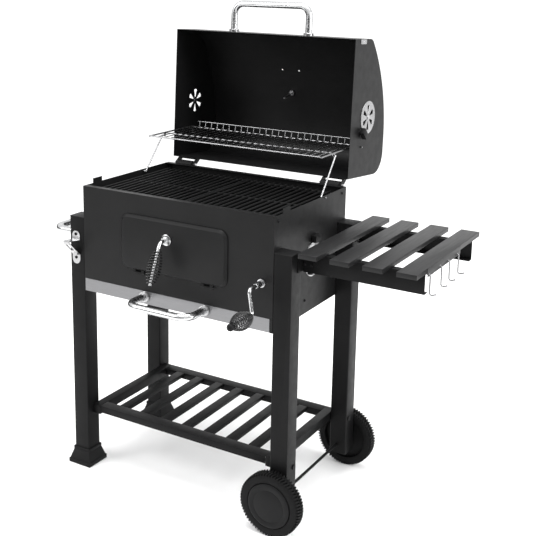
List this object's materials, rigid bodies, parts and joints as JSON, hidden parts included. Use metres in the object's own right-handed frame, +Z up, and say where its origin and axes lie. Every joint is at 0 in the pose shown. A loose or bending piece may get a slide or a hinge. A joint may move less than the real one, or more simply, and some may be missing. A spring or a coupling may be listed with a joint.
{
  "type": "charcoal_grill_cart",
  "caption": "Barrel charcoal grill on a wheeled cart, with a hinged lid, swing-out warming rack, crank-lifted charcoal pan, fire door, ash drawer, bottom shelf and slatted side table",
  "frame": {"origin": "on the floor, under the middle of the object's box with the lid open", "axes": "+X to the right as seen from the front, toward the side table and the wheels; +Y to the back; +Z up"},
  "size_m": [1.1311, 0.835, 1.3245],
  "materials": {
    "black_enamel": "satin",
    "black_powder": "satin",
    "chrome": "gloss",
    "brushed_steel": "satin",
    "zinc_steel": "satin",
    "black_plastic": "satin",
    "wheel_plastic": "satin",
    "black_wood": "satin"
  },
  "bodies": {
    "cart": {"legs": "black_powder", "leg_caps": "black_plastic", "feet": "black_plastic", "axle": "black_powder", "axle_nuts": "zinc_steel", "shelf_frame": "black_powder", "shelf_slats": "black_powder", "shelf_bolts": "black_plastic", "box_front": "black_enamel", "box_back": "black_enamel", "box_left": "black_enamel", "box_right": "black_enamel", "drawer_runners": "black_enamel", "box_screws": "black_powder", "grate_ledges": "black_enamel", "box_hinge_leaves": "black_powder", "lid_hinge_pins": "zinc_steel", "vent_pins_box": "zinc_steel", "pan_guides": "black_enamel", "crank_bushes": "zinc_steel", "door_hinges": "black_powder", "door_hinge_pins": "zinc_steel", "table_rails": "black_powder", "table_slats": "black_wood", "table_brackets": "black_powder", "table_bolts": "zinc_steel", "tool_hooks": "chrome", "push_handle": "chrome", "bottle_opener": "chrome", "cart_screws": "zinc_steel"},
    "lid": {"lid_shell": "black_enamel", "lid_ends": "black_enamel", "lid_handle": "chrome", "thermometer": "brushed_steel", "lid_hinge_leaves": "black_powder", "vent_pins_lid": "zinc_steel"},
    "rack": {"warming_rack": "chrome"},
    "rack_legs": {"rack_legs": "chrome"},
    "lid_vent_left": {"vent_disc_lid_left": "brushed_steel"},
    "lid_vent_right": {"vent_disc_lid_right": "brushed_steel"},
    "box_vent_left": {"vent_disc_box_left": "brushed_steel"},
    "box_vent_right": {"vent_disc_box_right": "brushed_steel"},
    "grate_left": {"cooking_grate_left": "black_enamel"},
    "grate_right": {"cooking_grate_right": "black_enamel"},
    "pan": {"charcoal_pan": "black_enamel", "charcoal_grate": "black_enamel", "lift_racks": "zinc_steel"},
    "crank": {"crank_rod": "chrome", "lift_pinions": "zinc_steel"},
    "crank_grip": {"crank_grip": "black_powder"},
    "fire_door": {"fire_door": "black_enamel"},
    "door_handle": {"door_handle": "chrome"},
    "drawer": {"ash_drawer": "zinc_steel", "drawer_front": "brushed_steel", "drawer_handle": "chrome"},
    "wheel_front": {"wheel_front": "wheel_plastic", "hubcap_front": "black_plastic"},
    "wheel_rear": {"wheel_rear": "wheel_plastic", "hubcap_rear": "black_plastic"}
  },
  "joints": [
    {"name": "lid_hinge", "type": "hinge", "parent": "cart", "child": "lid", "pos_m": [-0.12755, 0.16746, 0.83], "axis": [1, 0, 0], "range_deg": [0, 93]},
    {"name": "rack_pivot", "type": "hinge", "parent": "lid", "child": "rack", "pos_m": [-0.12755, 0.25046, 0.928], "axis": [1, 0, 0], "range_deg": [-93, 0]},
    {"name": "rack_leg_pivot", "type": "hinge", "parent": "cart", "child": "rack_legs", "pos_m": [-0.12755, 0.02346, 0.828], "axis": [1, 0, 0], "range_deg": [0, 93]},
    {"name": "lid_vent_left_turn", "type": "hinge", "parent": "lid", "child": "lid_vent_left", "pos_m": [-0.42255, 0.28893, 1.00789], "axis": [1, 0, 0], "range_deg": [-30, 30]},
    {"name": "lid_vent_right_turn", "type": "hinge", "parent": "lid", "child": "lid_vent_right", "pos_m": [0.16745, 0.28893, 1.00789], "axis": [1, 0, 0], "range_deg": [-30, 30]},
    {"name": "box_vent_left_turn", "type": "hinge", "parent": "cart", "child": "box_vent_left", "pos_m": [-0.42755, -0.03654, 0.675], "axis": [1, 0, 0], "range_deg": [-30, 30]},
    {"name": "box_vent_right_turn", "type": "hinge", "parent": "cart", "child": "box_vent_right", "pos_m": [0.17245, -0.03654, 0.675], "axis": [1, 0, 0], "range_deg": [-30, 30]},
    {"name": "grate_left_lift", "type": "slide", "parent": "cart", "child": "grate_left", "axis": [0, 0, 1], "range_m": [0, 0.075]},
    {"name": "grate_right_lift", "type": "slide", "parent": "cart", "child": "grate_right", "axis": [0, 0, 1], "range_m": [0, 0.075]},
    {"name": "pan_lift", "type": "slide", "parent": "cart", "child": "pan", "axis": [0, 0, 1], "range_m": [0, 0.056]},
    {"name": "crank_turn", "type": "hinge", "parent": "cart", "child": "crank", "pos_m": [0.13945, -0.24654, 0.66], "axis": [0, 1, 0], "range_deg": [0, 321]},
    {"name": "crank_grip_spin", "type": "hinge", "parent": "crank", "child": "crank_grip", "pos_m": [0.15039, -0.34654, 0.59796], "axis": [0, 1, 0], "continuous": true},
    {"name": "fire_door_hinge", "type": "hinge", "parent": "cart", "child": "fire_door", "pos_m": [-0.12755, -0.25154, 0.621], "axis": [1, 0, 0], "range_deg": [0, 60]},
    {"name": "door_handle_turn", "type": "hinge", "parent": "fire_door", "child": "door_handle", "pos_m": [-0.14255, -0.24654, 0.727], "axis": [0, 1, 0], "range_deg": [-90, 90]},
    {"name": "drawer_slide", "type": "slide", "parent": "cart", "child": "drawer", "axis": [0, -1, 0], "range_m": [0, 0.3]},
    {"name": "wheel_front_spin", "type": "hinge", "parent": "cart", "child": "wheel_front", "pos_m": [0.19245, -0.26754, 0.086], "axis": [0, 1, 0], "continuous": true},
    {"name": "wheel_rear_spin", "type": "hinge", "parent": "cart", "child": "wheel_rear", "pos_m": [0.19245, 0.17446, 0.086], "axis": [0, 1, 0], "continuous": true}
  ],
  "couplings": [
    {"joint": "rack_pivot", "follows": "lid_hinge", "ratio": -1},
    {"joint": "rack_leg_pivot", "follows": "lid_hinge", "ratio": 1},
    {"joint": "crank_turn", "follows": "pan_lift", "rad_per_m": 100}
  ]
}
